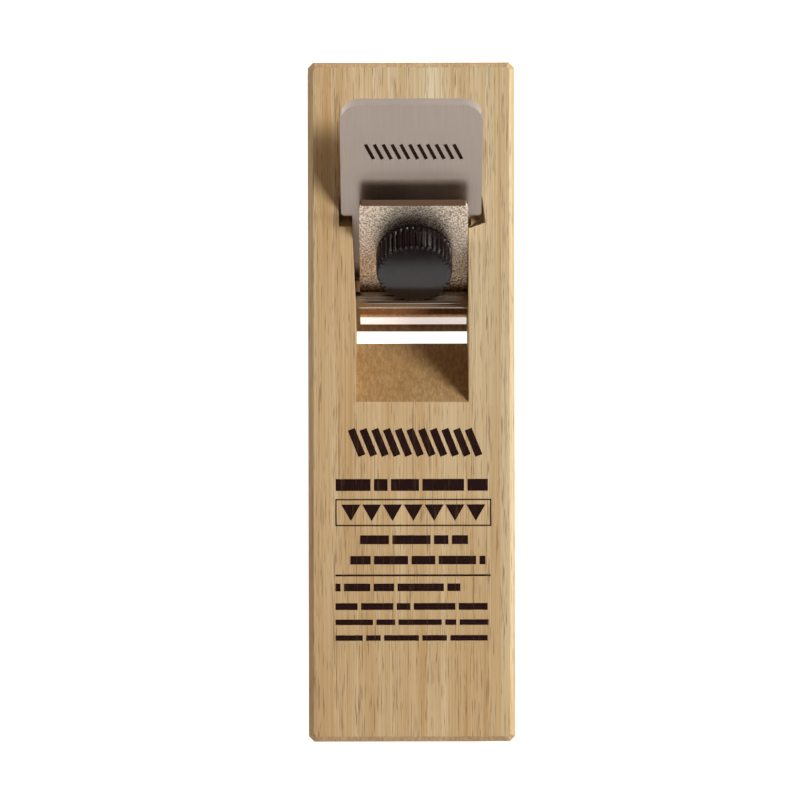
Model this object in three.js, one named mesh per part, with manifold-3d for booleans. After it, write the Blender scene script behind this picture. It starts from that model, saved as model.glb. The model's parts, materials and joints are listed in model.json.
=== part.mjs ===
// A small Japanese smoothing plane (kanna) with a replaceable blade: an oak block, a steel blade holder that
// leans back on a 40 degree bed, and a cap iron that a thumb screw levers against a cross pin.
// Millimetres. X runs across the block, +Y from the front to the tail and +Z up. The origin is the centre of
// the sole.
import * as THREE from "three";
import { mergeVertices } from "three/addons/utils/BufferGeometryUtils.js";
import Module from "manifold-3d";

const wasm = await Module();
wasm.setup();

// Oak block
const BLOCK_WIDTH = 48.7;
const BLOCK_LENGTH = 160;
const BLOCK_HEIGHT = 23;
const BLOCK_CHAMFER = 1.3;

// Throat and mouth
const THROAT_LEFT = -13.1;
const THROAT_RIGHT = 13.45;
const THROAT_FLARE = 0.8; // the left cheek opens by this much towards the holder's head
const FLARE_START = 23;
const FLARE_END = 41.4;
const THROAT_FRONT = 0; // where the front slope leaves the deck
const MOUTH_FRONT = 14.05; // where it meets the mouth's short upright wall
const MOUTH_WALL = 3; // height of that wall above the sole
const CUT_MARGIN = 1.5; // how far a cutting shape runs past the block

// Bed that the holder lies on
const BED_ANGLE = 40;
const EDGE_Y = 17; // the cutting edge
const EDGE_Z = 0.05; // set back from the sole, so that the plane rests on its wood
const SLOT_WIDTH = 28.2;
const SLOT_BACK = 2.6; // depth of the bed behind the holder's face
const SLOT_FRONT = 0.35; // clearance in front of the holder's face
const NOTCH_FLOOR = 32.5; // how far up the bed the notches for the head begin

// Blade holder, a T-shaped steel plate
const HOLDER_THICKNESS = 2.5;
const TONGUE_WIDTH = 27.8;
const HEAD_WIDTH = 33;
const SHOULDER_UP = 35.1; // distances up the bed from the cutting edge
const HEAD_UP = 66.9;
const HEAD_RADIUS = 5;
const SHOULDER_RADIUS = 0.8;
const SEAT_DEPTH = 0.85;
const SEAT_UP = 16.15;
const TOE_FRONT = 2.0;
const TOE_BACK = 4.1;

// Replaceable blade and the two pins that locate it
const BLADE_WIDTH = 27.7;
const BLADE_LENGTH = 16;
const BLADE_THICKNESS = 0.8;
const BLADE_BEVEL = 28;
const BLADE_HOLE_RADIUS = 1.7;
const LOCATING_RADIUS = 1.5;
const LOCATING_UP = 9;
const LOCATING_X = 7.5;
const FIT_GAP = 0.1; // clearance all round a piece that sits in another

// Cap iron
const CAP_ANGLE = 44.4;
const CAP_X = 0.55;
const CAP_WIDTH = 25.5;
const CAP_LENGTH = 39.7;
const CAP_THICKNESS = 2.2;
const CAP_BEVEL_RUN = 5.15;
const CAP_NOSE_EDGE = 0.15;
const CAP_CORNER = 0.8;
const NOSE_UP = 2.48; // the nose's distance up the bed from the cutting edge
const NOSE_GAP = 0.1; // the nose's height above the blade

// Cross pin
const PIN_RADIUS = 2;
const PIN_LENGTH = 47.5;
const PIN_HOLE_RADIUS = 2.08;
const PIN_ALONG_CAP = 11.8;
const PIN_GAP = 0.08;

// Thumb screw, its bush in the cap iron and its foot
const SCREW_X = 0.7;
const SCREW_ALONG_CAP = 24.8;
const SCREW_RADIUS = 2.45; // M5
const BUSH_BORE = 2.55;
const BUSH_RADIUS = 3.95;
const BUSH_FLANGE = 4.75;
const FLANGE_THICKNESS = 0.7;
const FOOT_RADIUS = 1.9;
const FOOT_TIP = -1.85; // heights above the cap iron's underside
const FOOT_TOP = -0.95;
const SCREW_TIP = -0.85;
const SCREW_HEAD_BASE = 4.6;
const SCREW_HEAD_TOP = 8.1;
const SCREW_HEAD_RADIUS = 4.6; // over the corners of the hexagon

// Knob
const KNOB_RADIUS = 9;
const KNOB_GROOVE = 0.45;
const KNOB_RIDGES = 40;
const KNOB_HEIGHT = 6.8;
const KNOB_CHAMFER = 0.55;
const KNOB_LIFT = 0.4; // above the cap iron's face

const ROUND = 40; // sides of a turned surface

const oak = new THREE.MeshStandardMaterial({ color: 0xcdb48a, roughness: 0.6, metalness: 0 });
const satinSteel = new THREE.MeshStandardMaterial({ color: 0xa3958b, roughness: 0.35, metalness: 1 });
const bladeSteel = new THREE.MeshStandardMaterial({ color: 0xc4c0ba, roughness: 0.15, metalness: 1 });
const nickel = new THREE.MeshStandardMaterial({ color: 0xb59d83, roughness: 0.4, metalness: 1 });
const polishedSteel = new THREE.MeshStandardMaterial({ color: 0xb8b2a8, roughness: 0.12, metalness: 1 });
const zincSteel = new THREE.MeshStandardMaterial({ color: 0xb0b0ac, roughness: 0.3, metalness: 1 });
const blackPlastic = new THREE.MeshStandardMaterial({ color: 0x18181a, roughness: 0.25, metalness: 0 });

// The bed's frame has its origin on the cutting edge, Y up the slope and Z out of the holder's face.
const bed = new THREE.Group();
bed.position.set(0, EDGE_Y, EDGE_Z);
bed.rotation.x = THREE.MathUtils.degToRad(BED_ANGLE);
bed.updateMatrix();

// The cap's frame has its origin under the nose, Y up the cap iron and Z out of its face.
const cap = new THREE.Group();
cap.position.set(CAP_X, NOSE_UP, NOSE_GAP).applyMatrix4(bed.matrix);
cap.rotation.x = THREE.MathUtils.degToRad(CAP_ANGLE);
cap.updateMatrix();

// A closed geometry as a solid that can be joined and cut, moved by a matrix if one is given.
function solid(geometry, matrix = new THREE.Matrix4()) {
  const bare = geometry.clone().applyMatrix4(matrix);
  bare.deleteAttribute("normal");
  bare.deleteAttribute("uv");
  const merged = mergeVertices(bare, 1e-4);
  return new wasm.Manifold(
    new wasm.Mesh({
      numProp: 3,
      vertProperties: merged.attributes.position.array,
      triVerts: new Uint32Array(merged.index.array),
    }),
  );
}

// A solid as a named mesh.
function mesh(name, shape, material) {
  const { vertProperties, triVerts } = shape.getMesh();
  const geometry = new THREE.BufferGeometry()
    .setAttribute("position", new THREE.BufferAttribute(vertProperties, 3))
    .setIndex(new THREE.BufferAttribute(triVerts, 1))
    .toNonIndexed();
  geometry.computeVertexNormals();
  const made = new THREE.Mesh(geometry, material);
  made.name = name;
  return made;
}

// A straight-sided outline.
function polygon(points) {
  return new THREE.Shape(points.map(([x, y]) => new THREE.Vector2(x, y)));
}

// An outline in X and Y, swept along Z from one height to another.
function plate(outline, from, to) {
  const sweep = { depth: to - from, bevelEnabled: false, curveSegments: 10 };
  return new THREE.ExtrudeGeometry(outline, sweep).translate(0, 0, from);
}

// A profile in Y and Z, swept along X over a width about the middle.
function profile(points, width) {
  const sideways = new THREE.Matrix4().makeBasis(
    new THREE.Vector3(0, 1, 0),
    new THREE.Vector3(0, 0, 1),
    new THREE.Vector3(1, 0, 0),
  );
  return plate(polygon(points), -width / 2, width / 2).applyMatrix4(sideways);
}

// A profile of radius and height turned about Z.
function turned(points, sides = ROUND) {
  const outline = points.map(([radius, height]) => new THREE.Vector2(radius, height));
  return new THREE.LatheGeometry(outline, sides).rotateX(Math.PI / 2);
}

// A plain round bar along Z.
function bar(radius, from, to, sides = ROUND) {
  return turned([[0, from], [radius, from], [radius, to], [0, to]], sides);
}

function bodyBlock() {
  const halfWidth = BLOCK_WIDTH / 2 - BLOCK_CHAMFER;
  const halfLength = BLOCK_LENGTH / 2 - BLOCK_CHAMFER;
  const corner = BLOCK_CHAMFER * (Math.SQRT2 - 1); // with the bevel this leaves a corner cut at 45 degrees
  const outline = [
    [halfWidth - corner, -halfLength],
    [halfWidth, corner - halfLength],
    [halfWidth, halfLength - corner],
    [halfWidth - corner, halfLength],
    [corner - halfWidth, halfLength],
    [-halfWidth, halfLength - corner],
    [-halfWidth, corner - halfLength],
    [corner - halfWidth, -halfLength],
  ];
  const block = new THREE.ExtrudeGeometry(polygon(outline), {
    depth: BLOCK_HEIGHT - 2 * BLOCK_CHAMFER,
    bevelSize: BLOCK_CHAMFER,
    bevelThickness: BLOCK_CHAMFER,
    bevelSegments: 1,
  }).translate(0, 0, BLOCK_CHAMFER);
  const holeAlongX = new THREE.Matrix4().makeRotationY(Math.PI / 2).setPosition(pinCentre);
  const pinHole = bar(PIN_HOLE_RADIUS, -BLOCK_WIDTH, BLOCK_WIDTH);
  return solid(block)
    .subtract(throat())
    .subtract(solid(tongueSlot(), bed.matrix))
    .subtract(solid(headNotch(), bed.matrix))
    .subtract(solid(pinHole, holeAlongX));
}

// The open space in front of the holder's face, from the deck down through the mouth.
function throat() {
  const top = BLOCK_HEIGHT + CUT_MARGIN;
  const frontSlope = (MOUTH_FRONT - THROAT_FRONT) / (BLOCK_HEIGHT - MOUTH_WALL);
  const faceAt = (z) => EDGE_Y + (z - EDGE_Z) / Math.tan(bed.rotation.x) + HOLDER_THICKNESS / 2;
  const side = [
    [THROAT_FRONT - CUT_MARGIN * frontSlope, top],
    [MOUTH_FRONT, MOUTH_WALL],
    [MOUTH_FRONT, -CUT_MARGIN],
    [faceAt(-CUT_MARGIN), -CUT_MARGIN],
    [faceAt(top), top],
  ];
  const deck = [
    [THROAT_RIGHT, -CUT_MARGIN],
    [THROAT_RIGHT, BLOCK_LENGTH / 2],
    [THROAT_LEFT - THROAT_FLARE, BLOCK_LENGTH / 2],
    [THROAT_LEFT - THROAT_FLARE, FLARE_END],
    [THROAT_LEFT, FLARE_START],
    [THROAT_LEFT, -CUT_MARGIN],
  ];
  return solid(profile(side, BLOCK_WIDTH)).intersect(solid(plate(polygon(deck), -CUT_MARGIN, top)));
}

// The grooves that guide the holder's tongue, in the bed's frame.
function tongueSlot() {
  const belowSole = -10;
  const outline = [
    [SLOT_WIDTH / 2, belowSole],
    [SLOT_WIDTH / 2, HEAD_UP],
    [-SLOT_WIDTH / 2, HEAD_UP],
    [-SLOT_WIDTH / 2, belowSole],
  ];
  return plate(polygon(outline), -SLOT_BACK, SLOT_FRONT);
}

// The notches in the deck that let the head's shoulders down, in the bed's frame. The right one is cut askew.
function headNotch() {
  const across = [
    [-17.0, -SLOT_BACK],
    [16.65, -SLOT_BACK],
    [17.4, 1.35],
    [13.4, 2.2],
    [-13.9, 1.93],
    [-17.0, 1.93],
  ];
  return plate(polygon(across), -HEAD_UP, -NOTCH_FLOOR).rotateX(Math.PI / 2);
}

function bladeHolder() {
  const tongue = TONGUE_WIDTH / 2;
  const head = HEAD_WIDTH / 2;
  const face = new THREE.Shape();
  face.moveTo(-tongue, 0);
  face.lineTo(tongue, 0);
  face.lineTo(tongue, SHOULDER_UP);
  face.lineTo(head - SHOULDER_RADIUS, SHOULDER_UP);
  face.absarc(head - SHOULDER_RADIUS, SHOULDER_UP + SHOULDER_RADIUS, SHOULDER_RADIUS, -Math.PI / 2, 0);
  face.absarc(head - HEAD_RADIUS, HEAD_UP - HEAD_RADIUS, HEAD_RADIUS, 0, Math.PI / 2);
  face.absarc(HEAD_RADIUS - head, HEAD_UP - HEAD_RADIUS, HEAD_RADIUS, Math.PI / 2, Math.PI);
  face.absarc(SHOULDER_RADIUS - head, SHOULDER_UP + SHOULDER_RADIUS, SHOULDER_RADIUS, Math.PI, 1.5 * Math.PI);
  face.lineTo(-tongue, SHOULDER_UP);
  const side = [
    [TOE_FRONT, -SEAT_DEPTH],
    [TOE_BACK, -HOLDER_THICKNESS],
    [HEAD_UP, -HOLDER_THICKNESS],
    [HEAD_UP, 0],
    [SEAT_UP, 0],
    [SEAT_UP, -SEAT_DEPTH],
  ];
  let holder = solid(profile(side, HEAD_WIDTH)).intersect(solid(plate(face, -HOLDER_THICKNESS, 0)));
  for (const x of [-LOCATING_X, LOCATING_X]) {
    const hole = bar(LOCATING_RADIUS + FIT_GAP, -2 * HOLDER_THICKNESS, 1);
    holder = holder.subtract(solid(hole.translate(x, LOCATING_UP, 0)));
  }
  return holder;
}

function replaceableBlade() {
  const bevelRun = BLADE_THICKNESS / Math.tan(THREE.MathUtils.degToRad(BLADE_BEVEL));
  const side = [
    [0, 0],
    [bevelRun, -BLADE_THICKNESS],
    [BLADE_LENGTH, -BLADE_THICKNESS],
    [BLADE_LENGTH, 0],
  ];
  let blade = solid(profile(side, BLADE_WIDTH));
  for (const x of [-LOCATING_X, LOCATING_X]) {
    const hole = bar(BLADE_HOLE_RADIUS, -HOLDER_THICKNESS, 1);
    blade = blade.subtract(solid(hole.translate(x, LOCATING_UP, 0)));
  }
  return blade;
}

function locatingPin() {
  const foot = FIT_GAP - HOLDER_THICKNESS;
  const chamfer = 0.2;
  return solid(
    turned([
      [0, foot],
      [LOCATING_RADIUS, foot],
      [LOCATING_RADIUS, -FIT_GAP - chamfer],
      [LOCATING_RADIUS - chamfer, -FIT_GAP],
      [0, -FIT_GAP],
    ]),
  );
}

function capIron() {
  const side = [
    [0, 0],
    [CAP_LENGTH, 0],
    [CAP_LENGTH, CAP_THICKNESS],
    [CAP_BEVEL_RUN, CAP_THICKNESS],
    [0, CAP_NOSE_EDGE],
  ];
  const half = CAP_WIDTH / 2;
  const face = new THREE.Shape();
  face.moveTo(-half, -1);
  face.lineTo(half, -1);
  face.absarc(half - CAP_CORNER, CAP_LENGTH - CAP_CORNER, CAP_CORNER, 0, Math.PI / 2);
  face.absarc(CAP_CORNER - half, CAP_LENGTH - CAP_CORNER, CAP_CORNER, Math.PI / 2, Math.PI);
  const bushHole = bar(BUSH_RADIUS + FIT_GAP / 2, -1, CAP_THICKNESS + 1);
  bushHole.translate(SCREW_X - CAP_X, SCREW_ALONG_CAP, 0);
  return solid(profile(side, CAP_WIDTH))
    .intersect(solid(plate(face, -1, CAP_THICKNESS + 1)))
    .subtract(solid(bushHole));
}

function capBush() {
  const underside = -FIT_GAP / 2;
  const outline = [
    [BUSH_BORE, underside - FLANGE_THICKNESS],
    [BUSH_FLANGE, underside - FLANGE_THICKNESS],
    [BUSH_FLANGE, underside],
    [BUSH_RADIUS, underside],
    [BUSH_RADIUS, CAP_THICKNESS - FIT_GAP / 2],
    [BUSH_BORE, CAP_THICKNESS - FIT_GAP / 2],
    [BUSH_BORE, underside - FLANGE_THICKNESS],
  ];
  return solid(turned(outline));
}

function thrustFoot() {
  const dome = 0.35;
  return solid(
    turned([
      [0, FOOT_TIP],
      [FOOT_RADIUS * 0.55, FOOT_TIP + dome * 0.3],
      [FOOT_RADIUS, FOOT_TIP + dome],
      [FOOT_RADIUS, FOOT_TOP],
      [0, FOOT_TOP],
    ]),
  );
}

function thumbScrew() {
  const shank = solid(bar(SCREW_RADIUS, SCREW_TIP, SCREW_HEAD_BASE + 1));
  const head = solid(bar(SCREW_HEAD_RADIUS, SCREW_HEAD_BASE, SCREW_HEAD_TOP, 6));
  return shank.add(head);
}

function knob() {
  const ridge = (2 * Math.PI) / KNOB_RIDGES;
  const outer = KNOB_RADIUS - KNOB_CHAMFER;
  const corners = [
    [0.18, outer - KNOB_GROOVE],
    [0.32, outer],
    [0.68, outer],
    [0.82, outer - KNOB_GROOVE],
  ];
  const outline = [];
  for (let i = 0; i < KNOB_RIDGES; i++)
    for (const [share, radius] of corners) {
      const angle = (i + share) * ridge;
      outline.push([radius * Math.cos(angle), radius * Math.sin(angle)]);
    }
  const grip = new THREE.ExtrudeGeometry(polygon(outline), {
    depth: KNOB_HEIGHT - 2 * KNOB_CHAMFER,
    bevelSize: KNOB_CHAMFER,
    bevelThickness: KNOB_CHAMFER,
    bevelSegments: 1,
  }).translate(0, 0, CAP_THICKNESS + KNOB_LIFT + KNOB_CHAMFER);
  const shankHole = bar(SCREW_RADIUS + FIT_GAP, 0, SCREW_HEAD_BASE + 1);
  const headPocket = bar(SCREW_HEAD_RADIUS + FIT_GAP, SCREW_HEAD_BASE - FIT_GAP, SCREW_HEAD_TOP + FIT_GAP, 6);
  return solid(grip).subtract(solid(shankHole)).subtract(solid(headPocket));
}

// The cross pin lies on the cap iron's face.
const pinCentre = new THREE.Vector3(0, PIN_ALONG_CAP, CAP_THICKNESS + PIN_RADIUS + PIN_GAP)
  .applyMatrix4(cap.matrix)
  .setX(0);

const plane = new THREE.Group();
plane.add(mesh("body_block", bodyBlock(), oak));

const crossPin = mesh("cross_pin", solid(bar(PIN_RADIUS, -PIN_LENGTH / 2, PIN_LENGTH / 2)), polishedSteel);
crossPin.rotation.y = Math.PI / 2;
crossPin.position.copy(pinCentre);
plane.add(crossPin);

bed.add(mesh("blade_holder", bladeHolder(), satinSteel));
bed.add(mesh("replaceable_blade", replaceableBlade(), bladeSteel));
for (const [side, x] of [["left", -LOCATING_X], ["right", LOCATING_X]]) {
  const pin = mesh("locating_pin_" + side, locatingPin(), zincSteel);
  pin.position.set(x, LOCATING_UP, 0);
  bed.add(pin);
}
plane.add(bed);

cap.add(mesh("cap_iron", capIron(), nickel));
const screwAxis = new THREE.Group();
screwAxis.position.set(SCREW_X - CAP_X, SCREW_ALONG_CAP, 0);
screwAxis.add(mesh("cap_bush", capBush(), zincSteel));
screwAxis.add(mesh("thrust_foot", thrustFoot(), zincSteel));
screwAxis.add(mesh("thumb_screw", thumbScrew(), zincSteel));
screwAxis.add(mesh("knob", knob(), blackPlastic));
cap.add(screwAxis);
plane.add(cap);

export default plane;
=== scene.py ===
# A small Japanese smoothing plane: oak block, leaning blade holder, cap iron and ridged clamping knob.
import json
import math

import bmesh
import bpy
from mathutils import Matrix, Vector


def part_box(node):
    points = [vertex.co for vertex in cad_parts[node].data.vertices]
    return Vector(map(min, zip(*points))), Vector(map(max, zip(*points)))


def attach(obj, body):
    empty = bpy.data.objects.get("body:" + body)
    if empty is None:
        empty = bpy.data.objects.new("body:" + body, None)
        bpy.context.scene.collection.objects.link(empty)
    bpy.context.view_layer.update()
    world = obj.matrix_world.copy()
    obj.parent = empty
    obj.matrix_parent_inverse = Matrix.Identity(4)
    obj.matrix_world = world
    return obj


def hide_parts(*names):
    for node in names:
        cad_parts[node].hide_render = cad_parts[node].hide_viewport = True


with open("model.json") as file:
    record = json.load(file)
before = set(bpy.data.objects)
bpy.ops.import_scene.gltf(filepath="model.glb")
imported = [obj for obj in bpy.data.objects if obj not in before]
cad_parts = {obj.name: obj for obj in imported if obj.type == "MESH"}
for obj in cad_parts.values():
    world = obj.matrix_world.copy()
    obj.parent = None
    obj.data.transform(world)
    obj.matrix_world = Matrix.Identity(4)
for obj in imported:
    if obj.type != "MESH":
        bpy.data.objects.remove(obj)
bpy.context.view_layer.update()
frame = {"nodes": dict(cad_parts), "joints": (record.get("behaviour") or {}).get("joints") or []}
print("frame loaded:", len(frame["nodes"]), "nodes")

mm = 0.001
joints = {joint["name"]: joint for joint in frame["joints"]}


def slopeFrame(origin, along):
    # a place on a sloping piece: X across the plane, Y up the slope, Z out of its face
    across = Vector((1, 0, 0))
    along = Vector(along).normalized()
    out = across.cross(along)
    turn = Matrix((across, along, out)).transposed().to_4x4()
    return Matrix.Translation(origin) @ turn


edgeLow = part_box("replaceable_blade")[0]
bedFrame = slopeFrame((0, edgeLow.y, edgeLow.z), joints["blade_slide"]["axis"])
screwFrame = slopeFrame(joints["knob_turn"]["pos_m"], joints["cap_slide"]["axis"])
pinFrame = Matrix.Translation(joints["cap_rock"]["pos_m"]) @ Matrix.Rotation(math.pi / 2, 4, "Y")
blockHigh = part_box("body_block")[1]
deck = blockHigh.z


def onlyThis(piece):
    if bpy.context.object and bpy.context.object.mode != "OBJECT":
        bpy.ops.object.mode_set(mode="OBJECT")
    bpy.ops.object.select_all(action="DESELECT")
    piece.select_set(True)
    bpy.context.view_layer.objects.active = piece


def pick(piece, kind, test):
    # in edit mode: selects the vertices, edges or faces that the test says yes to
    bpy.ops.mesh.select_mode(type=kind)
    bpy.ops.mesh.select_all(action="DESELECT")
    shape = bmesh.from_edit_mesh(piece.data)
    for part in {"VERT": shape.verts, "EDGE": shape.edges, "FACE": shape.faces}[kind]:
        part.select = bool(test(part))
    shape.select_flush_mode()
    bmesh.update_edit_mesh(piece.data)


def middle(edge):
    return (edge.verts[0].co + edge.verts[1].co) / 2


def turnBetween(edge):
    return edge.calc_face_angle(0) if len(edge.link_faces) == 2 else 0


def copyOfNode(node, name):
    # a CAD node's mesh as an object of its own, its triangles joined into whole faces
    piece = bpy.data.objects.new(name, frame["nodes"][node].data.copy())
    bpy.context.scene.collection.objects.link(piece)
    onlyThis(piece)
    bpy.ops.object.mode_set(mode="EDIT")
    bpy.ops.mesh.select_all(action="SELECT")
    bpy.ops.mesh.remove_doubles(threshold=0.002 * mm)
    bpy.ops.mesh.dissolve_limited(angle_limit=math.radians(0.6))
    bpy.ops.object.mode_set(mode="OBJECT")
    return piece


def softenEdges(piece, width, segments, test):
    onlyThis(piece)
    bpy.ops.object.mode_set(mode="EDIT")
    pick(piece, "EDGE", test)
    bpy.ops.mesh.bevel(offset=width, segments=segments, affect="EDGES", clamp_overlap=True)
    bpy.ops.object.mode_set(mode="OBJECT")


def turnProfile(name, profile, steps=64):
    # a profile of (radius, height) spun about Z
    bpy.ops.object.select_all(action="DESELECT")
    bpy.ops.mesh.primitive_plane_add(size=mm)
    piece = bpy.context.object
    piece.name = name
    bpy.ops.object.mode_set(mode="EDIT")
    bpy.ops.mesh.select_mode(type="VERT")
    bpy.ops.mesh.select_all(action="SELECT")
    bpy.ops.mesh.merge(type="CENTER")
    radius, height = profile[0]
    bpy.ops.transform.translate(value=(radius, 0, height))
    for nextRadius, nextHeight in profile[1:]:
        step = (nextRadius - radius, 0, nextHeight - height)
        bpy.ops.mesh.extrude_region_move(TRANSFORM_OT_translate={"value": step})
        radius, height = nextRadius, nextHeight
    bpy.ops.mesh.select_all(action="SELECT")
    bpy.ops.mesh.spin(steps=steps, angle=2 * math.pi, center=(0, 0, 0), axis=(0, 0, 1))
    bpy.ops.mesh.select_all(action="SELECT")
    bpy.ops.mesh.remove_doubles(threshold=0.001 * mm)
    bpy.ops.mesh.normals_make_consistent(inside=False)
    bpy.ops.object.mode_set(mode="OBJECT")
    return piece


def placeBy(piece, matrix):
    onlyThis(piece)
    piece.matrix_world = matrix @ piece.matrix_world
    bpy.ops.object.transform_apply(location=True, rotation=True, scale=True)


def cutAway(piece, cutter):
    onlyThis(piece)
    cut = piece.modifiers.new("cut", "BOOLEAN")
    cut.operation = "DIFFERENCE"
    cut.solver = "EXACT"
    cut.object = cutter
    bpy.ops.object.modifier_apply(modifier=cut.name)
    bpy.data.objects.remove(cutter)


def finish(piece, material, body, nodes, smooth=30, flats=False):
    onlyThis(piece)
    if smooth:
        bpy.ops.object.shade_smooth_by_angle(angle=math.radians(smooth))
    if flats:
        # the big faces stay flat and only the rounded edges turn the light
        weighted = piece.modifiers.new("weighted", "WEIGHTED_NORMAL")
        weighted.weight = 100
        weighted.keep_sharp = True
        bpy.ops.object.modifier_apply(modifier=weighted.name)
    piece.data.materials.clear()
    piece.data.materials.append(material)
    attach(piece, body)
    if nodes:
        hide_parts(*nodes)
    print("made", piece.name, len(piece.data.polygons), "faces")


def linear(hexColour):
    parts = [int(hexColour[i:i + 2], 16) / 255 for i in (1, 3, 5)]
    return [p / 12.92 if p <= 0.04045 else ((p + 0.055) / 1.055) ** 2.4 for p in parts] + [1]


def addNode(tree, kind, values=None, links=None, stops=None, **settings):
    node = tree.nodes.new(kind)
    for name, value in settings.items():
        setattr(node, name, value)
    for socket, value in (values or {}).items():
        node.inputs[socket].default_value = value
    for socket, source in (links or {}).items():
        tree.links.new(source, node.inputs[socket])
    for index, (place, colour) in enumerate(stops or []):
        elements = node.color_ramp.elements
        element = elements[index] if index < 2 else elements.new(place)
        element.position = place
        element.color = linear(colour) if isinstance(colour, str) else (colour,) * 3 + (1,)
    return node


def maths(tree, operation, first, second=0.0):
    # a Math node's output; each side is a number or another node's output
    sides = {0: first, 1: second}
    values = {side: value for side, value in sides.items() if isinstance(value, (int, float))}
    links = {side: value for side, value in sides.items() if side not in values}
    return addNode(tree, "ShaderNodeMath", values, links, operation=operation).outputs[0]


def newMaterial(name):
    material = bpy.data.materials.new(name)
    material.use_nodes = True
    return material, material.node_tree, material.node_tree.nodes["Principled BSDF"]


oakLook = {  # widths and lengths in millimetres
    "pale": "#DFC599", "brown": "#BB945C", "pore": "#7C572B", "endGrain": "#BC8E52",
    "ringWidth": 2.6, "lineWidth": 0.3, "lineLength": 55, "bandWidth": 6, "bandLength": 120,
    # the last colour multiplies in a painted sheen, paler towards the tail and the right side
    "poreWidth": 0.21, "poreLength": 7.0, "roughness": 0.55, "paintedSheen": (1.05, 1.18, 1.38, 1),
}


def makeOak(name, tint=None, sheen=0.5):
    # planed white oak, no varnish: pale early wood, browner late wood, short dark pores along the grain
    look = oakLook
    material, tree, surface = newMaterial(name)
    place = addNode(tree, "ShaderNodeTexCoord").outputs["Object"]
    normal = addNode(tree, "ShaderNodeTexCoord").outputs["Normal"]

    def grain(across, along, detail, shift=0.0):
        # noise drawn out along the grain, in millimetres across it and along it
        scale = (1000 / across, 1000 / along, 1000 / across)
        space = addNode(tree, "ShaderNodeMapping", {"Scale": scale, "Location": (shift, shift, shift)},
                        {"Vector": place})
        return addNode(tree, "ShaderNodeTexNoise", {"Scale": 1, "Detail": detail, "Roughness": 0.6},
                       {"Vector": space.outputs[0]}).outputs["Fac"]

    # growth rings about a pith far below the sole, drifting a little along the block
    ringSpace = addNode(tree, "ShaderNodeMapping", {"Scale": (1000, 14, 1000), "Location": (62, 0, 48)},
                        {"Vector": place})
    ring = addNode(tree, "ShaderNodeTexWave",
                   {"Scale": 0.314 / look["ringWidth"], "Distortion": 3, "Detail": 2, "Detail Scale": 0.6},
                   {"Vector": ringSpace.outputs[0]}, wave_type="RINGS", rings_direction="Y",
                   wave_profile="SAW").outputs["Fac"]
    lines = grain(look["lineWidth"], look["lineLength"], 3)
    bands = grain(look["bandWidth"], look["bandLength"], 2, 3.0)
    poreNoise = grain(look["poreWidth"], look["poreLength"], 1.5, 7.0)
    # the pores crowd into the early wood, where the ring's saw tooth starts
    crowded = maths(tree, "ADD", poreNoise, maths(tree, "MULTIPLY", ring, 0.09))
    pore = addNode(tree, "ShaderNodeValToRGB", {}, {"Fac": crowded},
                   [(0.38, 1.0), (0.46, 0.0)]).outputs["Color"]
    fine = maths(tree, "ADD", maths(tree, "MULTIPLY", lines, 1.1), bands)
    mixed = maths(tree, "ADD", maths(tree, "MULTIPLY", ring, 0.2), fine)
    wood = addNode(tree, "ShaderNodeValToRGB", {}, {"Fac": maths(tree, "MULTIPLY", mixed, 0.5)},
                   [(0.39, look["pale"]), (0.76, look["brown"])]).outputs["Color"]
    # painted light: the wood is drawn paler and less yellow towards the tail and the right side, where the
    # light and its sheen fall strongest
    paintedSheenSpace = addNode(tree, "ShaderNodeMapping", {"Scale": (1 / blockHigh.x, 1 / blockHigh.y, 0)},
                        {"Vector": place})
    paintedSheenSum = addNode(tree, "ShaderNodeVectorMath", {1: (1, 1, 0)}, {0: paintedSheenSpace.outputs[0]},
                      operation="DOT_PRODUCT").outputs["Value"]
    paintedSheen = addNode(tree, "ShaderNodeMapRange", {"From Min": 0.0, "From Max": 1.0}, {"Value": paintedSheenSum})
    wood = addNode(tree, "ShaderNodeMix", {7: look["paintedSheen"]}, {0: paintedSheen.outputs[0], 6: wood},
                   data_type="RGBA", blend_type="MULTIPLY").outputs[2]
    # cut across, the open fibres drink the light
    lengthways = addNode(tree, "ShaderNodeSeparateXYZ", {}, {0: normal}).outputs["Y"]
    cutAcross = maths(tree, "ABSOLUTE", lengthways)
    ends = addNode(tree, "ShaderNodeMix", {7: linear(look["endGrain"])},
                   {0: maths(tree, "MULTIPLY", cutAcross, 0.6), 6: wood}, data_type="RGBA")
    fleckSpace = addNode(tree, "ShaderNodeMapping", {"Rotation": (0, 0, 0.7), "Scale": (1700, 420, 500)},
                         {"Vector": place})
    fleckNoise = addNode(tree, "ShaderNodeTexNoise", {"Scale": 1, "Detail": 3},
                         {"Vector": fleckSpace.outputs[0]})
    fleck = addNode(tree, "ShaderNodeValToRGB", {}, {"Fac": fleckNoise.outputs["Fac"]},
                    [(0.4, 1.0), (0.62, 0.0)]).outputs["Color"]
    flecked = maths(tree, "MULTIPLY", fleck, maths(tree, "MULTIPLY", cutAcross, 0.5))
    dark = maths(tree, "MAXIMUM", flecked, maths(tree, "MULTIPLY", pore, 0.62))
    colour = addNode(tree, "ShaderNodeMix", {7: linear(look["pore"])}, {0: dark, 6: ends.outputs[2]},
                     data_type="RGBA").outputs[2]
    if tint:
        # printed over the wood, a little of its pores shows through
        colour = addNode(tree, "ShaderNodeMix", {6: linear(tint), 7: linear(look["pore"])},
                         {0: maths(tree, "MULTIPLY", pore, 0.2)}, data_type="RGBA").outputs[2]
    tree.links.new(colour, surface.inputs["Base Color"])
    surface.inputs["Roughness"].default_value = look["roughness"]
    surface.inputs["Specular IOR Level"].default_value = sheen
    surface.inputs["IOR"].default_value = 1.5
    bump = addNode(tree, "ShaderNodeBump", {"Strength": 0.35, "Distance": 0.05 * mm},
                   {"Height": maths(tree, "SUBTRACT", lines, pore)})
    tree.links.new(bump.outputs[0], surface.inputs["Normal"])
    return material


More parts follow.
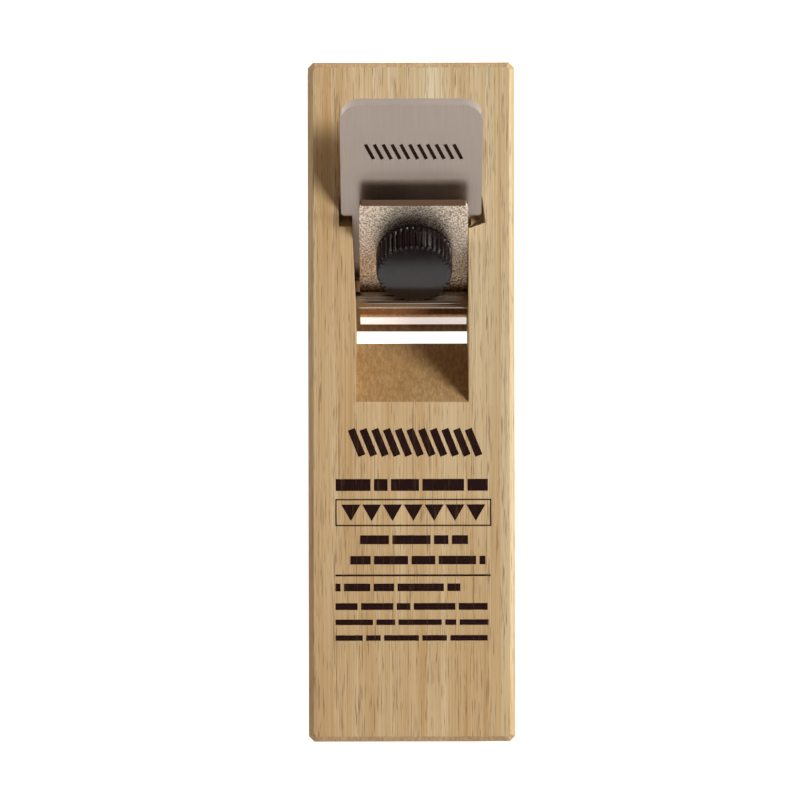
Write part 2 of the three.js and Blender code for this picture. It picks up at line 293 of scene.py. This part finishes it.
def steelNodes(name, colour, roughness, **more):
    # bare metal with lines drawn along its lay, given as their size in millimetres each way;
    # the sheared edges, which look across the direction out of the plate, are duller than its faces
    look = {"lay": (0.12, 14, 0.12), "turn": 0.0, "brush": 0.0, "relief": 0.01,
            "grain": 0.0, "grainSize": 0.3, "out": (0, 0, 1), "sheared": colour}
    look.update(more)
    material, tree, surface = newMaterial(name)
    place = addNode(tree, "ShaderNodeTexCoord").outputs["Object"]
    normal = addNode(tree, "ShaderNodeTexCoord").outputs["Normal"]
    outward = addNode(tree, "ShaderNodeVectorMath", {1: look["out"]}, {0: normal},
                      operation="DOT_PRODUCT").outputs["Value"]
    face = maths(tree, "GREATER_THAN", maths(tree, "ABSOLUTE", outward), 0.5)
    turned = addNode(tree, "ShaderNodeMapping", {"Rotation": (look["turn"], 0, 0)}, {"Vector": place})
    space = addNode(tree, "ShaderNodeMapping", {"Scale": [1000 / size for size in look["lay"]]},
                    {"Vector": turned.outputs[0]})
    lines = addNode(tree, "ShaderNodeTexNoise", {"Scale": 1, "Detail": 3}, {"Vector": space.outputs[0]})
    shade = addNode(tree, "ShaderNodeMapRange",
                    {"From Min": 0.3, "From Max": 0.7, "To Min": 0.9, "To Max": 1.06},
                    {"Value": lines.outputs["Fac"]})
    tinted = addNode(tree, "ShaderNodeMix", {0: 1, 6: linear(colour)}, {7: shade.outputs[0]},
                     data_type="RGBA", blend_type="MULTIPLY")
    ended = addNode(tree, "ShaderNodeMix", {6: linear(look["sheared"])}, {0: face, 7: tinted.outputs[2]},
                    data_type="RGBA")
    tree.links.new(ended.outputs[2], surface.inputs["Base Color"])
    cloud = addNode(tree, "ShaderNodeTexNoise", {"Scale": 90, "Detail": 3}, {"Vector": place})
    smoothest, roughest = roughness * 0.85, roughness * 1.15
    rough = addNode(tree, "ShaderNodeMapRange",
                    {"From Min": 0.3, "From Max": 0.7, "To Min": smoothest, "To Max": roughest},
                    {"Value": cloud.outputs["Fac"]})
    tree.links.new(rough.outputs[0], surface.inputs["Roughness"])
    surface.inputs["Metallic"].default_value = 1
    bump = addNode(tree, "ShaderNodeBump", {"Strength": look["brush"], "Distance": look["relief"] * mm},
                   {"Height": lines.outputs["Fac"]})
    grains = addNode(tree, "ShaderNodeTexNoise", {"Scale": 1000 / look["grainSize"], "Detail": 2},
                     {"Vector": place})
    blast = addNode(tree, "ShaderNodeBump", {"Strength": look["grain"], "Distance": 0.08 * mm},
                    {"Height": grains.outputs["Fac"], "Normal": bump.outputs[0]})
    tree.links.new(blast.outputs[0], surface.inputs["Normal"])
    return material, {"place": place, "normal": normal, "face": face, "tinted": tinted, "ended": ended,
                      "rough": rough, "grains": grains, "blast": blast}


def makeSteel(name, colour, roughness, **more):
    material, nodes = steelNodes(name, colour, roughness, **more)
    return material


def makeSatinNickel(name, colour, roughness, **more):
    # nickel plate over a blasted face; the nose and the strip in front of the pin are ground smooth
    material, nodes = steelNodes(name, colour, roughness, **more)
    tree = material.node_tree
    surface = tree.nodes["Principled BSDF"]
    lengthways = addNode(tree, "ShaderNodeSeparateXYZ", {}, {0: nodes["normal"]}).outputs["Y"]
    up = maths(tree, "GREATER_THAN", lengthways, -0.8)
    along = addNode(tree, "ShaderNodeSeparateXYZ", {}, {0: nodes["place"]}).outputs["Y"]
    behindPin = maths(tree, "GREATER_THAN", along, pinFrame[1][3])
    blasted = maths(tree, "MULTIPLY", maths(tree, "MULTIPLY", up, nodes["face"]), behindPin)
    smoother = addNode(tree, "ShaderNodeMix", {2: 0.08}, {0: blasted, 3: nodes["rough"].outputs[0]})
    tree.links.new(smoother.outputs[0], surface.inputs["Roughness"])
    tree.links.new(maths(tree, "MULTIPLY", blasted, more["grain"]), nodes["blast"].inputs["Strength"])
    # the pits between the grains are darker
    pits = addNode(tree, "ShaderNodeMapRange",
                   {"From Min": 0.38, "From Max": 0.58, "To Min": 0.46, "To Max": 1.2},
                   {"Value": nodes["grains"].outputs["Fac"]})
    nose, strip = linear("#EDF0FF"), linear("#D2BDB8")
    smooth = addNode(tree, "ShaderNodeMix", {6: nose, 7: strip}, {0: up}, data_type="RGBA")
    pitted = addNode(tree, "ShaderNodeMix", {}, {0: blasted, 6: smooth.outputs[2], 7: pits.outputs[0]},
                     data_type="RGBA")
    speckled = addNode(tree, "ShaderNodeMix", {0: 1}, {6: nodes["tinted"].outputs[2], 7: pitted.outputs[2]},
                       data_type="RGBA", blend_type="MULTIPLY")
    tree.links.new(speckled.outputs[2], nodes["ended"].inputs[7])
    return material


def makeBlackPlastic():
    # moulded ABS: nearly black, a soft sheen, faint flow marks
    material, tree, surface = newMaterial("blackAbs")
    place = addNode(tree, "ShaderNodeTexCoord").outputs["Object"]
    cloud = addNode(tree, "ShaderNodeTexNoise", {"Scale": 400, "Detail": 4}, {"Vector": place})
    shade = addNode(tree, "ShaderNodeValToRGB", {}, {"Fac": cloud.outputs["Fac"]},
                    [(0.35, "#150A0E"), (0.7, "#1E1117")])
    tree.links.new(shade.outputs["Color"], surface.inputs["Base Color"])
    # the top is polished in the mould, the ridges are not
    normal = addNode(tree, "ShaderNodeTexCoord").outputs["Normal"]
    facing = addNode(tree, "ShaderNodeVectorMath", {1: screwFrame.col[2].xyz}, {0: normal},
                     operation="DOT_PRODUCT").outputs["Value"]
    flat = addNode(tree, "ShaderNodeMapRange",
                   {"From Min": 0.5, "From Max": 0.9, "To Min": 0.24, "To Max": 0.08},
                   {"Value": facing}).outputs[0]
    rough = maths(tree, "ADD", maths(tree, "MULTIPLY", cloud.outputs["Fac"], 0.05), flat)
    tree.links.new(rough, surface.inputs["Roughness"])
    surface.inputs["IOR"].default_value = 1.53
    surface.inputs["Specular IOR Level"].default_value = 0.4
    fine = addNode(tree, "ShaderNodeTexNoise", {"Scale": 4000, "Detail": 2}, {"Vector": place})
    bump = addNode(tree, "ShaderNodeBump", {"Strength": 0.05, "Distance": 0.01 * mm},
                   {"Height": fine.outputs["Fac"]})
    tree.links.new(bump.outputs[0], surface.inputs["Normal"])
    return material


bedTurn = -math.atan2(bedFrame[2][1], bedFrame[1][1])
capTurn = -math.atan2(screwFrame[2][1], screwFrame[1][1])
oak = makeOak("planedWhiteOak")
ink = makeOak("brownPrintingInk", tint="#210806", sheen=0.12)
# brushed along the plate: a soft sheen in fine streaks
satinSteel = makeSteel("brushedStainlessSteel", "#B9ACA2", 0.32, lay=(0.10, 12, 0.10), turn=bedTurn,
                       brush=0.4, out=bedFrame.col[2].xyz, sheared="#8F837A")
# ground across its width: a bright strip with fine lines
groundSteel = makeSteel("groundToolSteel", "#A39B96", 0.14, lay=(9, 0.06, 9), turn=bedTurn, brush=0.3)
satinNickel = makeSatinNickel("satinNickelPlate", "#EBDCC9", 0.3, turn=capTurn, grain=1.0, grainSize=0.4,
                              out=screwFrame.col[2].xyz, sheared="#C9B7A4")
# drawn and polished: long bright and dark lines from end to end
drawnSteel = makeSteel("drawnSteelRod", "#A89C8E", 0.13, lay=(500, 0.77, 0.77), brush=1.0, relief=0.35)
# dull and nearly black in the floor of the stamped marks
darkStampFloor = makeSteel("darkStampFloorSteel", "#3A2E28", 0.6, grain=0.5, grainSize=0.15)
# pale plating with a blurred shine
zincPlate = makeSteel("brightZincPlate", "#B9BAB8", 0.28, grain=0.15, grainSize=0.2)
blackPlastic = makeBlackPlastic()
print("materials made")


blockShape = {"arris": 0.22 * mm, "throatArris": 0.12 * mm, "inset": 1.6 * mm}


def makeBlock():
    # the outside edges are broken by hand, the throat's rim a little less
    piece = copyOfNode("body_block", "oakBlock")
    halfWidth = blockHigh.x - blockShape["inset"]
    halfLength = blockHigh.y - blockShape["inset"]

    def outside(edge):
        place = middle(edge)
        nearSide = abs(place.x) > halfWidth or abs(place.y) > halfLength
        return turnBetween(edge) > math.radians(20) and nearSide

    def throatRim(edge):
        place = middle(edge)
        level = all(abs(vertex.co.z - deck) < 0.01 * mm for vertex in edge.verts)
        inside = abs(place.x) < halfWidth and abs(place.y) < halfLength
        return level and turnBetween(edge) > math.radians(20) and inside

    softenEdges(piece, blockShape["arris"], 3, outside)
    softenEdges(piece, blockShape["throatArris"], 2, throatRim)
    finish(piece, oak, "block", ["body_block"], flats=True)


makeBlock()


# the deck's print: slanting bars, a frame of triangles, a rule and plain dashes, in millimetres
printMarks = {
    "thickness": 0.02, "clear": 0.004, "gap": 0.8,
    "band": {"middle": (0.8, -9.5), "height": 6.7, "stroke": 1.75, "pitch": 2.75, "count": 11, "lean": -22},
    "frame": {"left": -18.0, "right": 18.7, "top": -22.8, "bottom": -29.2, "line": 0.32},
    "arrows": {"left": -14.35, "at": -25.4, "pitch": 4.9, "radius": 2.6, "count": 7},
    "rule": {"left": -18.0, "right": 18.5, "at": -41.0, "line": 0.45},
    "lines": [  # middle, height, left, and the lengths of the dashes
        (-19.5, 2.8, -17.9, (8.2, 3.2, 6.6, 9.8, 4.8)),
        (-32.4, 2.1, -12.2, (6.8, 9.0, 3.4, 3.8)),
        (-37.2, 2.0, -14.5, (4.8, 8.0, 5.6, 8.8, 1.4)),
        (-43.6, 1.8, -18.0, (1.2, 6.2, 4.8, 10.9, 3.1)),
        (-48.1, 1.6, -18.0, (5.2, 7.6, 3.2, 9.8, 6.8)),
        (-51.8, 1.3, -18.0, (8.8, 4.4, 10.2, 2.6, 6.8)),
        (-55.5, 1.3, -18.0, (6.4, 3.4, 8.2, 5.8, 8.8)),
    ],
}


def makeDeckPrint():
    marks = printMarks
    bpy.ops.object.select_all(action="DESELECT")
    bpy.ops.mesh.primitive_plane_add(size=mm)
    piece = bpy.context.object
    piece.name = "deckPrint"
    bpy.ops.object.mode_set(mode="EDIT")
    bpy.ops.mesh.select_all(action="SELECT")
    bpy.ops.mesh.delete(type="VERT")
    level = deck + marks["clear"] * mm

    def bar(left, right, low, high):
        centre = ((left + right) / 2 * mm, (low + high) / 2 * mm, level)
        bpy.ops.mesh.primitive_plane_add(size=1, location=centre)
        bpy.ops.transform.resize(value=((right - left) * mm, (high - low) * mm, 1), center_override=centre)

    band = marks["band"]
    for i in range(band["count"]):
        x = band["middle"][0] + (i - (band["count"] - 1) / 2) * band["pitch"]
        y, width, height = band["middle"][1], band["stroke"], band["height"]
        bar(x - width / 2, x + width / 2, y - height / 2, y + height / 2)
        bpy.ops.transform.rotate(value=math.radians(band["lean"]), orient_axis="Z",
                                 center_override=(x * mm, y * mm, level))
    arrows = marks["arrows"]
    for i in range(arrows["count"]):
        centre = ((arrows["left"] + arrows["pitch"] * i) * mm, arrows["at"] * mm, level)
        bpy.ops.mesh.primitive_circle_add(vertices=3, radius=arrows["radius"] * mm, fill_type="NGON",
                                          location=centre, rotation=(0, 0, math.pi))
    box, line = marks["frame"], marks["frame"]["line"]
    bar(box["left"], box["right"], box["top"] - line, box["top"])
    bar(box["left"], box["right"], box["bottom"], box["bottom"] + line)
    bar(box["left"], box["left"] + line, box["bottom"] + line, box["top"] - line)
    bar(box["right"] - line, box["right"], box["bottom"] + line, box["top"] - line)
    rule = marks["rule"]
    bar(rule["left"], rule["right"], rule["at"], rule["at"] + rule["line"])
    for centre, height, left, dashes in marks["lines"]:
        for length in dashes:
            bar(left, left + length, centre - height / 2, centre + height / 2)
            left += length + marks["gap"]
    bpy.ops.mesh.select_all(action="SELECT")
    bpy.ops.mesh.extrude_region_move(TRANSFORM_OT_translate={"value": (0, 0, marks["thickness"] * mm)})
    bpy.ops.mesh.select_all(action="SELECT")
    bpy.ops.mesh.normals_make_consistent(inside=False)
    bpy.ops.object.mode_set(mode="OBJECT")
    placeBy(piece, Matrix.Identity(4))
    finish(piece, ink, "block", [], smooth=0)


makeDeckPrint()


holderShape = {
    "arris": 0.25 * mm, "marks": 11, "markUp": 53.6 * mm, "markX": 0.55 * mm, "markPitch": 2.05 * mm,
    "markLean": -24, "markWidth": 0.85 * mm, "markLength": 4.6 * mm, "markDepth": 0.3 * mm,
}


def slantedStrokes(name, margin, low, high):
    # a row of slanting bars on the holder, between two heights over its face
    shape = holderShape
    size = (shape["markWidth"] - 2 * margin, shape["markLength"] - 2 * margin, high - low)
    strokes = None
    for i in range(shape["marks"]):
        x = shape["markX"] + (i - (shape["marks"] - 1) / 2) * shape["markPitch"]
        place = (x, shape["markUp"], (low + high) / 2)
        bpy.ops.mesh.primitive_cube_add(size=1, location=place)
        bpy.ops.transform.resize(value=size, center_override=place)
        bpy.ops.transform.rotate(value=math.radians(shape["markLean"]), orient_axis="Z",
                                 center_override=place)
        if strokes:
            strokes.select_set(True)
            bpy.context.view_layer.objects.active = strokes
            bpy.ops.object.join()
        strokes = bpy.context.object
    strokes.name = name
    placeBy(strokes, bedFrame)
    return strokes


def makeHolder():
    piece = copyOfNode("blade_holder", "holderPlate")
    depth = holderShape["markDepth"]
    softenEdges(piece, holderShape["arris"], 3, lambda edge: turnBetween(edge) > math.radians(25))
    cutAway(piece, slantedStrokes("strokeCutter", 0, -depth, depth))
    finish(piece, satinSteel, "blade", ["blade_holder"], flats=True)
    # a thin, dull, nearly black sheet is laid on the floor of the stamped marks
    low = 0.01 * mm - depth
    scale = slantedStrokes("darkStampSheet", 0.02 * mm, low, low + 0.03 * mm)
    finish(scale, darkStampFloor, "blade", [], smooth=0)


makeHolder()


def makeBlade():
    piece = copyOfNode("replaceable_blade", "thinBlade")
    # every edge but the cutting one is broken a little
    softenEdges(piece, 0.06 * mm, 2, lambda edge: turnBetween(edge) > math.radians(25)
                and middle(edge).y > edgeLow.y + 2 * mm)
    finish(piece, groundSteel, "blade", ["replaceable_blade"], flats=True)


def makeLocatingPins():
    for side in ("left", "right"):
        low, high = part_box("locating_pin_" + side)
        top, foot, radius, up = -0.1 * mm, -2.4 * mm, 1.5 * mm, 9 * mm
        piece = turnProfile("locatingPin_" + side, [
            (0, foot), (radius - 0.2 * mm, foot), (radius, foot + 0.2 * mm), (radius, top - 0.35 * mm),
            (radius - 0.08 * mm, top - 0.12 * mm), (radius - 0.3 * mm, top), (0, top)], 48)
        across = (low.x + high.x) / 2
        placeBy(piece, bedFrame @ Matrix.Translation((across, up, 0)))
        finish(piece, zincPlate, "blade", ["locating_pin_" + side])


makeBlade()
makeLocatingPins()


def makeCap():
    piece = copyOfNode("cap_iron", "capPlate")
    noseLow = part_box("cap_iron")[0]
    # the sheared edges are rounded, the nose stays crisp
    softenEdges(piece, 0.3 * mm, 5, lambda edge: turnBetween(edge) > math.radians(35)
                and middle(edge).y > noseLow.y + 1 * mm)
    finish(piece, satinNickel, "cap", ["cap_iron"], smooth=20, flats=True)


def makeBush():
    bore, body, flange = 2.55 * mm, 3.95 * mm, 4.75 * mm
    foot, seat, top = -0.75 * mm, -0.05 * mm, 2.15 * mm
    piece = turnProfile("threadedBush", [
        (bore, foot), (flange - 0.15 * mm, foot), (flange, foot + 0.15 * mm),
        (flange, seat - 0.05 * mm), (flange - 0.05 * mm, seat), (body, seat), (body, top),
        (bore + 0.25 * mm, top), (bore, top - 0.25 * mm), (bore, foot)])
    placeBy(piece, screwFrame)
    finish(piece, zincPlate, "cap", ["cap_bush"])


makeCap()
makeBush()


def makeCrossPin():
    low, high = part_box("cross_pin")
    half, radius = (high.x - low.x) / 2, 2 * mm
    piece = turnProfile("crossPin", [
        (0, -half), (radius - 0.35 * mm, -half), (radius - 0.1 * mm, 0.12 * mm - half),
        (radius, 0.35 * mm - half), (radius, half - 0.35 * mm), (radius - 0.1 * mm, half - 0.12 * mm),
        (radius - 0.35 * mm, half), (0, half)], 96)
    placeBy(piece, pinFrame)
    finish(piece, drawnSteel, "pin", ["cross_pin"])


makeCrossPin()


knobShape = {  # in millimetres
    "base": 2.6, "top": 9.4, "radius": 9.0, "rim": 8.7, "dome": 0.16, "groove": 0.6,
    "bore": 2.6, "boreDepth": 3, "hollow": 6.6, "hollowDepth": 0.6,
}
ridges, stepsPerRidge = 40, 8


def makeKnob():
    shape = {name: value * mm for name, value in knobShape.items()}
    base, radius, rim, bore = shape["base"], shape["radius"], shape["rim"], shape["bore"]
    crown, brow = shape["top"] - shape["dome"], rim - 0.15 * mm
    ceiling = base + shape["hollowDepth"]
    profile = [
        (0, base + shape["boreDepth"]), (bore, base + shape["boreDepth"]), (bore, ceiling),
        (shape["hollow"], ceiling), (shape["hollow"] + 0.4 * mm, base), (radius - 0.45 * mm, base),
        (radius - 0.1 * mm, base + 0.12 * mm), (radius, base + 0.45 * mm),
        (radius - 0.02 * mm, base + 2.5 * mm), (radius - 0.06 * mm, crown - 0.8 * mm),
        (radius - 0.15 * mm, crown - 0.3 * mm), (rim, crown - 0.05 * mm), (brow, crown)]
    rings = 8
    for i in range(1, rings + 1):
        share = 1 - i / rings
        profile.append((brow * share, crown + shape["dome"] * (1 - share * share)))
    piece = turnProfile("knobGrip", profile, ridges * stepsPerRidge)
    bpy.ops.object.mode_set(mode="EDIT")

    def inGroove(vertex, phases):
        across = math.hypot(vertex.co.x, vertex.co.y)
        turned = math.atan2(vertex.co.y, vertex.co.x) / (2 * math.pi)
        phase = round(turned * ridges * stepsPerRidge) % stepsPerRidge
        side = base + 0.2 * mm < vertex.co.z < crown - 0.02 * mm
        return across > rim - 0.05 * mm and side and phase in phases

    # flat-bottomed grooves with a slope on each side
    for phases, depth in (((0, 1, 7), 1.0), ((2, 6), 0.45)):
        pick(piece, "VERT", lambda vertex: inGroove(vertex, phases))
        share = 1 - shape["groove"] * depth / radius
        bpy.ops.transform.resize(value=(share, share, 1), center_override=(0, 0, 0))
    bpy.ops.object.mode_set(mode="OBJECT")
    placeBy(piece, screwFrame)
    finish(piece, blackPlastic, "screw", ["knob"], smooth=40)


def makeScrew():
    # M5 thread of 0.8 mm pitch, and the hexagon head that the knob is moulded round
    pitch, crest, root = 0.8 * mm, 2.45 * mm, 2.0 * mm
    tip, headBase, headTop, headRadius = -0.85 * mm, 4.6 * mm, 8.1 * mm, 4.6 * mm
    turns, split = 6, 2 * mm
    bpy.ops.object.select_all(action="DESELECT")
    bpy.ops.mesh.primitive_plane_add(size=mm)
    thread = bpy.context.object
    thread.name = "clampScrew"
    bpy.ops.object.mode_set(mode="EDIT")
    bpy.ops.mesh.select_mode(type="VERT")
    bpy.ops.mesh.select_all(action="SELECT")
    bpy.ops.mesh.merge(type="CENTER")
    bpy.ops.transform.translate(value=(root, 0, tip))
    for step in ((0, 0, pitch * 0.12), (crest - root, 0, pitch * 0.32), (0, 0, pitch * 0.14),
                 (root - crest, 0, pitch * 0.32), (0, 0, pitch * 0.1)):
        bpy.ops.mesh.extrude_region_move(TRANSFORM_OT_translate={"value": step})
    bpy.ops.object.mode_set(mode="OBJECT")
    winding = thread.modifiers.new("winding", "SCREW")
    winding.steps = winding.render_steps = 36
    winding.screw_offset = pitch
    winding.iterations = turns
    bpy.ops.object.modifier_apply(modifier=winding.name)
    bpy.ops.object.mode_set(mode="EDIT")
    bpy.ops.mesh.select_all(action="SELECT")
    bpy.ops.mesh.remove_doubles(threshold=0.01 * mm)
    # each open end is drawn in to a point
    for end in (-1, 1):
        pick(thread, "EDGE",
             lambda edge: len(edge.link_faces) == 1 and end * (middle(edge).z - split) > 0)
        bpy.ops.mesh.extrude_region_move()
        bpy.ops.mesh.merge(type="CENTER")
    bpy.ops.mesh.select_all(action="SELECT")
    bpy.ops.mesh.normals_make_consistent(inside=False)
    bpy.ops.mesh.primitive_cylinder_add(vertices=6, radius=headRadius, depth=headTop - headBase,
                                        location=(0, 0, (headBase + headTop) / 2),
                                        rotation=(0, 0, math.pi / 6))
    bpy.ops.mesh.select_all(action="SELECT")
    bpy.ops.object.mode_set(mode="OBJECT")
    placeBy(thread, screwFrame)
    finish(thread, zincPlate, "screw", ["thumb_screw"])


def makeFoot():
    radius, top, tip = 1.9 * mm, -0.95 * mm, -1.85 * mm
    profile = [(0, tip)]
    for i in range(1, 7):
        angle = i / 6 * math.pi / 2
        profile.append((radius * math.sin(angle), tip + 0.35 * mm * (1 - math.cos(angle))))
    profile += [(radius, top - 0.1 * mm), (radius - 0.1 * mm, top), (0, top)]
    piece = turnProfile("thrustFoot", profile)
    placeBy(piece, screwFrame)
    finish(piece, zincPlate, "foot", ["thrust_foot"])


makeKnob()
makeScrew()
makeFoot()


stageLook = {
    "floorSize": 8.0, "floorGlow": 0.95, "world": "#625850",
    "sweep": {"away": 1.5, "width": 3, "height": 0.167, "glow": 0.4},
    "camera": {"lens": 160.7, "sensor": 36, "place": (-2.73 * mm, 0.47 * mm, 863 * mm), "roll": -0.12},
    "lamps": {  # place, what it looks at, size, power and colour
        "keyRight": ((0.86, 0.36, 1.05), (0, 0, 0), (0.42, 0.5), 16.9, (1, 1, 1)),
        "lowRight": ((1.1, 0.62, 0.3), (0, 0, 0.02), (0.7, 0.3), 2.3, (1, 1, 1)),
        "fillAbove": ((-0.2, 0.3, 1.5), (0, 0, 0), (1.2, 0.8), 1.1, (1, 0.8, 0.7)),
        "frontHigh": ((0.0, -1.45, 0.64), (0, 0, 0), (1.8, 0.56), 3.1, (1, 1, 1)),
    },
}


def whiteBoard(name, roughness, glow):
    # matt white that gives off a little light of its own
    material, tree, surface = newMaterial(name)
    surface.inputs["Base Color"].default_value = linear("#F2F2F2")
    surface.inputs["Roughness"].default_value = roughness
    surface.inputs["Emission Color"].default_value = (1, 1, 1, 1)
    surface.inputs["Emission Strength"].default_value = glow
    return material


def makeFloor():
    bpy.ops.object.select_all(action="DESELECT")
    bpy.ops.mesh.primitive_plane_add(size=stageLook["floorSize"], location=(0, 0, -0.05 * mm))
    floor = bpy.context.object
    floor.name = "floor"
    floor.data.materials.append(whiteBoard("paleTable", 0.9, stageLook["floorGlow"]))


def makeSweep():
    # a low white board in front, for the leaning metal and the knob to mirror
    look = stageLook["sweep"]
    place = (0, -look["away"], look["height"] / 2)
    bpy.ops.mesh.primitive_plane_add(size=1, location=place, rotation=(math.pi / 2, 0, 0))
    sweep = bpy.context.object
    sweep.name = "sweep"
    bpy.ops.transform.resize(value=(look["width"], 1, look["height"]), center_override=place)
    sweep.data.materials.append(whiteBoard("whiteSweep", 0.5, look["glow"]))


def makeLamps():
    for name, (place, target, size, power, colour) in stageLook["lamps"].items():
        light = bpy.data.lights.new(name, "AREA")
        light.shape = "RECTANGLE"
        light.size, light.size_y = size
        light.energy = power
        light.color = colour
        lamp = bpy.data.objects.new(name, light)
        bpy.context.scene.collection.objects.link(lamp)
        lamp.location = place
        lamp.rotation_euler = (Vector(target) - Vector(place)).to_track_quat("-Z", "Y").to_euler()
    world = bpy.data.worlds.new("studio")
    world.use_nodes = True
    world.node_tree.nodes["Background"].inputs["Color"].default_value = linear(stageLook["world"])
    world.node_tree.nodes["Background"].inputs["Strength"].default_value = 1.0
    bpy.context.scene.world = world


def makeCamera():
    look = stageLook["camera"]
    camera = bpy.data.objects.new("camera", bpy.data.cameras.new("camera"))
    bpy.context.scene.collection.objects.link(camera)
    camera.data.lens = look["lens"]
    camera.data.sensor_width = look["sensor"]
    camera.location = look["place"]
    camera.rotation_euler = (0, 0, math.radians(look["roll"]))
    bpy.context.scene.camera = camera
    bpy.context.scene.view_settings.view_transform = "Standard"


makeFloor()
makeSweep()
makeLamps()
makeCamera()
print("stage made")
